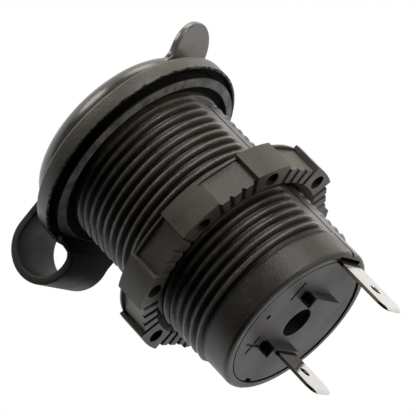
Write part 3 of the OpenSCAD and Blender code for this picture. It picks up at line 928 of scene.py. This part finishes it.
# %% Thread tree
LEAST_LEAN = 0.3
thread_settings = {
    "Pitch": PITCH * MM, "Root": ROOT_R * MM, "Crest": CREST_R * MM, "Collar": COLLAR_R * MM,
    "Crest half": 0.16 * MM, "Flank": 0.50 * MM, "Flat": FLAT_R * MM, "Top": THREAD_TOP * MM,
    "End": THREAD_END * MM, "Fade": 0.7 * MM, "Point start": 4.3 * MM, "Point end": 2.2 * MM,
}
tree, given, end = shape_tree("cut_thread", {**thread_settings, "Material": None})
x, y, z = split(tree, add(tree, "GeometryNodeInputPosition").outputs[0])
turn, on_sleeve = (
    add(tree, "GeometryNodeInputNamedAttribute", {"Name": label}, data_type="FLOAT").outputs[0]
    for label in ("turn", "sleeve")
)
around = maths(tree, "SUBTRACT", maths(tree, "FRACT", maths(tree, "ADD", turn, 0.5)), 0.5)
off_crest = product(tree, maths(tree, "ABSOLUTE", around), given["Pitch"])
flank_end = maths(tree, "ADD", given["Crest half"], given["Flank"])
height = ramp(tree, off_crest, given["Crest half"], flank_end, 1.0, 0.0)
faded = maths(tree, "SUBTRACT", given["Top"], given["Fade"])
height = maths(tree, "MAXIMUM", height, ramp(tree, z, faded, given["Top"]))
cut_r = blended(tree, height, given["Root"], given["Crest"])
near_end = maths(tree, "ADD", given["End"], product(tree, given["Fade"], 0.5))
cut_r = blended(tree, ramp(tree, z, given["End"], near_end), given["Collar"], cut_r)
reach = from_axis(tree, x, y)
lean = maths(tree, "MAXIMUM", maths(tree, "DIVIDE", maths(tree, "ABSOLUTE", x), reach), LEAST_LEAN)
flat_r = maths(tree, "DIVIDE", given["Flat"], lean)
aside = maths(tree, "ABSOLUTE", y)
filled = ramp(tree, aside, given["Point end"], given["Point start"], 1.0, 0.0)
floor_r = blended(tree, filled, given["Root"], flat_r)
new_r = maths(tree, "MINIMUM", flat_r, maths(tree, "MAXIMUM", cut_r, floor_r))
grow = maths(tree, "DIVIDE", new_r, reach)
moved = add(tree, "ShaderNodeCombineXYZ", {
    "X": product(tree, x, grow), "Y": product(tree, y, grow), "Z": z,
})
cut = add(tree, "GeometryNodeSetPosition", {
    "Geometry": given["Geometry"], "Selection": over(tree, on_sleeve, 0.5),
    "Position": moved.outputs[0],
})
end_tree(tree, cut.outputs[0], given["Material"], end)
shaped(body, tree, {**thread_settings, "Material": BODY})
print("threaded body:", len(body.data.vertices), "points")

# %% [markdown]
# The moulding has a slot for the ground terminal, with a wider notch at the rim, and a fine groove
# along each flat where the mould's halves met. On the far side the grey plate doesn't fill its
# seat, which leaves a crescent gap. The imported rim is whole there, so the gap is cut here, out of
# the body and later out of the plate. Boxes and one bent prism are enough for all of it.

# %% Cuts in the body
CUT_REAR = -38
SLOT_INNER = 9
SLOT_OUTER = 12.45
SLOT_HALF = 3.3
SLOT_FRONT = -20.8
NOTCH_OUTER = 12.82
NOTCH_FRONT = -31.5
GROOVE_INNER = 13.3
GROOVE_OUTER = 14.5
GROOVE_HALF = 0.25
GROOVE_FRONT = -1.5
GAP_FIRST = -12
GAP_SWEEP = 204
GAP_STEPS = 40
GAP_INNER = 12.13
GAP_INWARD = 0.55
GAP_OUTER = 12.30
GAP_OUTWARD = 0.08
GAP_TORN = 0.05
GAP_FRONT = -35.7


def gap_cut(made):
    """Cut the crescent gap that the plate leaves at the rim's far side."""
    inner = []
    outer = []
    for k in range(GAP_STEPS + 1):
        a = math.radians(GAP_FIRST + GAP_SWEEP * k / GAP_STEPS)
        wide = max(0.0, math.sin(math.pi * k / GAP_STEPS)) ** 0.8
        torn = GAP_TORN * math.sin(23 * a) * math.sin(9 * a + 1)
        inner.append((GAP_INNER - GAP_INWARD * wide, a))
        outer.append((GAP_OUTER + (GAP_OUTWARD + torn) * wide, a))
    loop = [(r * math.cos(a), r * math.sin(a)) for r, a in outer + inner[::-1]]
    ends = [[(x, y, z) for x, y in loop] for z in (GAP_FRONT, CUT_REAR)]
    combine(made, prisms("cutter", [ends]), "DIFFERENCE")


cut_boxes(body, ((SLOT_INNER, -SLOT_HALF, CUT_REAR), (SLOT_OUTER, SLOT_HALF, SLOT_FRONT)))
cut_boxes(body, ((SLOT_INNER, -SLOT_HALF, CUT_REAR), (NOTCH_OUTER, SLOT_HALF, NOTCH_FRONT)))
gap_cut(body)
cut_boxes(
    body,
    ((GROOVE_INNER, -GROOVE_HALF, CUT_REAR), (GROOVE_OUTER, GROOVE_HALF, GROOVE_FRONT)),
    ((-GROOVE_OUTER, -GROOVE_HALF, CUT_REAR), (-GROOVE_INNER, GROOVE_HALF, GROOVE_FRONT)),
)
shade(body)
settle(body, "socket", "body_plastic", "housing")

# %% [markdown]
# ## Nut and plate
# The ring nut is moulded with eight lugs and ribs on its rear face. The grey plate closes the body's
# rear and carries the plus and minus marks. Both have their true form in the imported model, so they
# are copied, merged and given the small edge rounding that catches the light. The nut's rear face
# is made plain first, then it gets the wide, shallow ribs of the photo and a chamfer at its bore.

# %% Nut and plate
NUT_GAPS = 8
LUG_PHASE = 15
NUT_REFACED = 0.6
RIB_ANGLES = (-10.9, -3.7, 3.7, 10.9)
RIB_RUN = (14.0, 19.5)
RIB_HALF = 0.50
RIB_FLOOR_HALF = 0.12
RIB_DEPTH = 0.5
RIB_LEAD = 0.1
CHAMFER_R = 15.4
CHAMFER_DEPTH = 1.3
CHAMFER_LEAD = 0.5
CHAMFER_CORE_R = 13.0
NUT_BORE_R = 14.25
MARK_X = 5.4
MARK_Y = -7.2
MARK_ARM = 1.8
MARK_HALF = 0.24
MARK_DEPTH_Z = -36.25


def refaced(made, depth):
    """Cut the rear off a solid and close it again with a plain face at the same place."""
    rear = min(v.co.z for v in made.data.vertices)
    work = opened(made.data, weld=False)
    everything = work.verts[:] + work.edges[:] + work.faces[:]
    bmesh.ops.bisect_plane(
        work, geom=everything, plane_co=(0, 0, rear + depth * MM), plane_no=(0, 0, 1), clear_inner=True
    )
    rim = [e for e in work.edges if e.is_boundary]
    drawn = bmesh.ops.extrude_edge_only(work, edges=rim)["geom"]
    for v in (g for g in drawn if isinstance(g, bmesh.types.BMVert)):
        v.co.z = rear
    bmesh.ops.triangle_fill(work, edges=[e for e in work.edges if e.is_boundary], use_beauty=True)
    bmesh.ops.dissolve_limit(work, angle_limit=COPLANAR_ANGLE, verts=work.verts, edges=work.edges)
    closed(work, made.data)
    return rear / MM


def rib_cutter(rear):
    """Shallow V grooves for the nut's rear face, four between each two lugs."""
    outside = rear - RIB_LEAD
    bottom = rear + RIB_DEPTH
    section = ((-RIB_HALF, outside), (RIB_HALF, outside),
               (RIB_FLOOR_HALF, bottom), (-RIB_FLOOR_HALF, bottom))
    pairs = []
    for gap in range(NUT_GAPS):
        for off in RIB_ANGLES:
            a = math.radians(LUG_PHASE + (gap + 0.5) * 360 / NUT_GAPS + off)
            out = Vector((math.cos(a), math.sin(a)))
            side = Vector((-out.y, out.x))
            pairs.append([[(*(out * r + side * w), z) for w, z in section] for r in RIB_RUN])
    return prisms("cutter", pairs)


nut = packed_copy("moulded_ring_nut", "ring_nut")
rear = refaced(nut, NUT_REFACED)
combine(nut, rib_cutter(rear), "DIFFERENCE")
combine(nut, lathe("cutter", [
    (CHAMFER_CORE_R, rear - CHAMFER_LEAD), (CHAMFER_R, rear - CHAMFER_LEAD), (CHAMFER_R, rear),
    (NUT_BORE_R, rear + CHAMFER_DEPTH), (CHAMFER_CORE_R, rear + CHAMFER_DEPTH),
], 96), "DIFFERENCE")
soften(nut, 0.10)
settle(nut, "ring_nut", "nut_plastic", "ring_nut")
plate = packed_copy("terminal_plate", "rear_plate")
bars = [((x - MARK_ARM, MARK_Y - MARK_HALF, CUT_REAR), (x + MARK_ARM, MARK_Y + MARK_HALF, MARK_DEPTH_Z))
        for x in (MARK_X, -MARK_X)]
cut_boxes(plate, *bars)
cut_boxes(plate, ((-MARK_X - MARK_HALF, MARK_Y - MARK_ARM, CUT_REAR),
                  (-MARK_X + MARK_HALF, MARK_Y + MARK_ARM, MARK_DEPTH_Z)))
gap_cut(plate)
soften(plate, 0.05)
settle(plate, "socket", "plate_plastic", "rear_plate")

# %% [markdown]
# ## Blades
# The two terminals are stamped from sheet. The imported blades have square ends, so each copy gets
# round tip corners, and its tip is coined: pressed thinner, so that a receptacle slides on. Moving
# the points behind a cut line is enough for that, and keeps the blade one plain strip.

# %% Blades
BLADE_TIP_Z = -47.4
GROUND_X = 12.0
POSITIVE_X = -4.6
TIP_RADIUS = 0.6
TIP_REGION = 2
COINED_LENGTH = 0.8
COINED_SHARE = 0.5
ACROSS_THICKNESS = 0.3
OFF_MIDDLE = 1.2


def finished_blade(name, node, x):
    """A blade with round tip corners and a coined, thinner tip."""
    made = packed_copy(name, node)
    work = opened(made.data, weld=False)
    corners = [
        e for e in work.edges
        if abs((e.verts[0].co - e.verts[1].co).x) > ACROSS_THICKNESS * MM
        and max(v.co.z for v in e.verts) < (BLADE_TIP_Z + TIP_REGION) * MM
        and abs(e.verts[0].co.y) > OFF_MIDDLE * MM
    ]
    bmesh.ops.bevel(work, geom=corners, offset=TIP_RADIUS * MM, segments=4, profile=0.5, affect="EDGES")
    everything = work.verts[:] + work.edges[:] + work.faces[:]
    line = (0, 0, (BLADE_TIP_Z + COINED_LENGTH) * MM)
    bmesh.ops.bisect_plane(work, geom=everything, plane_co=line, plane_no=(0, 0, 1))
    for v in work.verts:
        into = max(0.0, min(1.0, (BLADE_TIP_Z + COINED_LENGTH - v.co.z / MM) / COINED_LENGTH))
        v.co.x = x * MM + (v.co.x - x * MM) * (1 - COINED_SHARE * into)
    closed(work, made.data)
    soften(made, 0.03)
    settle(made, "socket", "plated_blade", node)


finished_blade("ground_terminal_blade", "ground_blade", GROUND_X)
finished_blade("positive_terminal_blade", "positive_blade", POSITIVE_X)

# %% [markdown]
# ## Seal, strap and cap
# Seal, strap and cap are one rubber moulding. The seal is turned: its thin lip leans out from a
# ring under the flange, hollow behind, and the panel presses it flat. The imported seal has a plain
# lip there, and the undercut is made here, where the photo shows it.

# %% Seal
ROUND_COLUMNS = 160
SEAL_BORE = 14.1
SEAL_TOP = 1.38
SEAL_WEB = 0.9
SEAL_RING_R = 16.3
LIP_R = 17.2
seal = lathe("panel_seal", rounded([
    (SEAL_BORE, 1.0, 0), (SEAL_BORE, SEAL_TOP, 0), (SEAL_RING_R, SEAL_TOP, 0.05),
    (SEAL_RING_R, 0.6, 0.1), (LIP_R, 0.5, 0.15), (LIP_R, 0.36, 0.05), (15.85, 0.0, 0.05),
    (15.7, 0.05, 0.06), (15.5, SEAL_WEB, 0.05), (SEAL_BORE, SEAL_WEB, 0.2), (SEAL_BORE, 1.0, 0),
]), ROUND_COLUMNS)
settle(seal, "socket", "strap_rubber", "seal_strap")

# %% [markdown]
# The strap leaves the seal, loops outward and joins the cap. It could be a bent box or a bevelled
# curve, but its root is spread and its edges are round. So it is a band that a geometry tree runs
# along a path in the XZ plane and then widens near the root.

# %% Strap path and band
LOOP_X = -19.9
LOOP_Z = 2.25
LOOP_MID_R = 5.39
LOOP_FIRST = -68
LOOP_SWEEP = 202
LOOP_STEPS = 40
path = [(-16.4, 0.95), (-16.5, -0.6), (-16.7, -1.7), (-17.05, -2.45)]
for k in range(LOOP_STEPS + 1):
    angle = math.radians(LOOP_FIRST - k / LOOP_STEPS * LOOP_SWEEP)
    path.append((LOOP_X + LOOP_MID_R * math.cos(angle), LOOP_Z + LOOP_MID_R * math.sin(angle)))
path += [(x, LOOP_Z + LOOP_MID_R) for x in (-18.6, -17.3, -16.0, -14.4)]
strap = mesh_object(
    "strap_band", [(x, 0, z) for x, z in path], [], [(i, i + 1) for i in range(len(path) - 1)]
)
band_settings = {
    "Width": 11 * MM, "Thickness": 1.4 * MM, "Edge": 0.32 * MM, "Flare": 0.27,
    "Flare start": -18.5 * MM, "Flare end": -16.2 * MM, "Flare top": 2.0 * MM,
}
tree, given, end = shape_tree("run_band", {**band_settings, "Material": None})
line = add(tree, "GeometryNodeMeshToCurve", {"Mesh": given["Geometry"]})
upright = add(tree, "GeometryNodeSetCurveNormal", {"Curve": line.outputs[0]}, mode="MINIMUM_TWIST")
section = add(tree, "GeometryNodeCurvePrimitiveQuadrilateral", {
    "Width": given["Width"], "Height": given["Thickness"],
})
soft = add(tree, "GeometryNodeFilletCurve", {
    "Curve": section.outputs[0], "Radius": given["Edge"], "Count": 4,
}, mode="POLY")
band = add(tree, "GeometryNodeCurveToMesh", {
    "Curve": upright.outputs[0], "Profile Curve": soft.outputs[0], "Fill Caps": True,
})
x, y, z = split(tree, add(tree, "GeometryNodeInputPosition").outputs[0])
near_root = ramp(tree, x, given["Flare start"], given["Flare end"])
low_down = ramp(tree, z, 0.0, given["Flare top"], 1.0, 0.0)
wider = shifted(tree, 1.0, product(tree, near_root, low_down), given["Flare"])
spread = add(tree, "ShaderNodeCombineXYZ", {"X": x, "Y": product(tree, y, wider), "Z": z})
flared = add(tree, "GeometryNodeSetPosition", {
    "Geometry": band.outputs[0], "Position": spread.outputs[0],
})
end_tree(tree, flared.outputs[0], given["Material"], end)
shaped(strap, tree, {**band_settings, "Material": STRAP})
tidy_surface(strap)
settle(strap, None, "strap_rubber")
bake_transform(strap)

# %% [markdown]
# The cap is a shallow dome with a plug that fits the bore, and a tab to pull it by. The dome is
# turned. The tab is a leaning plate with a round end and a spread root, joined on as a solid, so
# that cap and tab are one skin as in the mould.

# %% Cap and tab
CAP_R = 16.4
CAP_TOP = 9.1
CAP_EDGE_R = 3.2
CAP_EDGE_Z = 5.3
CROWN_R = 13.2
CROWN_DROP = 0.6
PLUG_Z = -0.8
AXIS_R = 0.02
dome = [
    (CAP_R - CAP_EDGE_R + CAP_EDGE_R * math.sin(a), CAP_EDGE_Z + CAP_EDGE_R * math.cos(a))
    for a in (math.radians(90 - 4.5 * k) for k in range(20))
]
crown = [
    (r, CAP_TOP - CROWN_DROP * (r / CROWN_R) ** 2)
    for r in (12, 10.5, 9, 7.5, 6, 4.5, 3, 1.5, 0.5, AXIS_R)
]
cap = lathe("domed_cap", [(AXIS_R, 0.4)] + rounded([
    (7.9, 0.4, 0), (8.2, PLUG_Z, 0.2), (9.7, PLUG_Z, 0.2), (10.0, PLUG_Z + 0.3, 0.1),
    (BORE_R, FLANGE_FRONT - 0.3, 0), (BORE_R, FLANGE_FRONT, 0), (CAP_R - 0.02, FLANGE_FRONT, 0.12),
    (CAP_R, FLANGE_FRONT + 0.25, 0),
]) + dome + crown, ROUND_COLUMNS)

TAB_LEAN = math.radians(20.5)
TAB_HALF = 4.7
TAB_END = 5.8 / math.cos(TAB_LEAN) - TAB_HALF
TAB_HEIGHT = 2.1
TAB_THICKNESS = 1.2
TAB_ROOT = [
    (0.6, -4.72), (0.2, -4.82), (-0.2, -5.03), (-0.6, -5.35), (-1.5, -6.2), (-2.5, -7.2), (-7.0, -8.6),
]
outline = [
    (TAB_END + TAB_HALF * math.sin(a), TAB_HALF * math.cos(a))
    for a in (math.radians(6 * k) for k in range(31))
]
outline += TAB_ROOT + [(u, -v) for u, v in reversed(TAB_ROOT)]
lean = Matrix.Translation((CAP_R, 0, FLANGE_FRONT + TAB_HEIGHT)) @ Matrix.Rotation(-TAB_LEAN, 4, "Y")
tab = prisms("pull_tab", [
    [[tuple(lean @ Vector((u, v, w))) for u, v in outline] for w in (0.0, TAB_THICKNESS)]
])
tidy_surface(tab)
soften(tab, 0.3, 3, 50)
combine(cap, tab, "UNION")
shade(cap)
settle(cap, "cap", "cap_rubber", "cap")

# %% [markdown]
# ## Inner parts
# The drawn metal shell that the plug slides into, the insulating disc, the brass button that its
# tip presses on, and the rivet through them. The closed cap hides them all in the photo, so they
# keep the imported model's own meshes and only get their finishes.

# %% Inner parts
for name, slot in (("contact_shell", "plated_shell"), ("insulator_disc", "phenolic"),
                   ("centre_contact", "brass_contact"), ("centre_rivet", "plated_rivet")):
    node = frame["nodes"][name]
    node.data.materials.clear()
    node.data.materials.append(SLOTS[slot])
    print(name, "gets", slot)
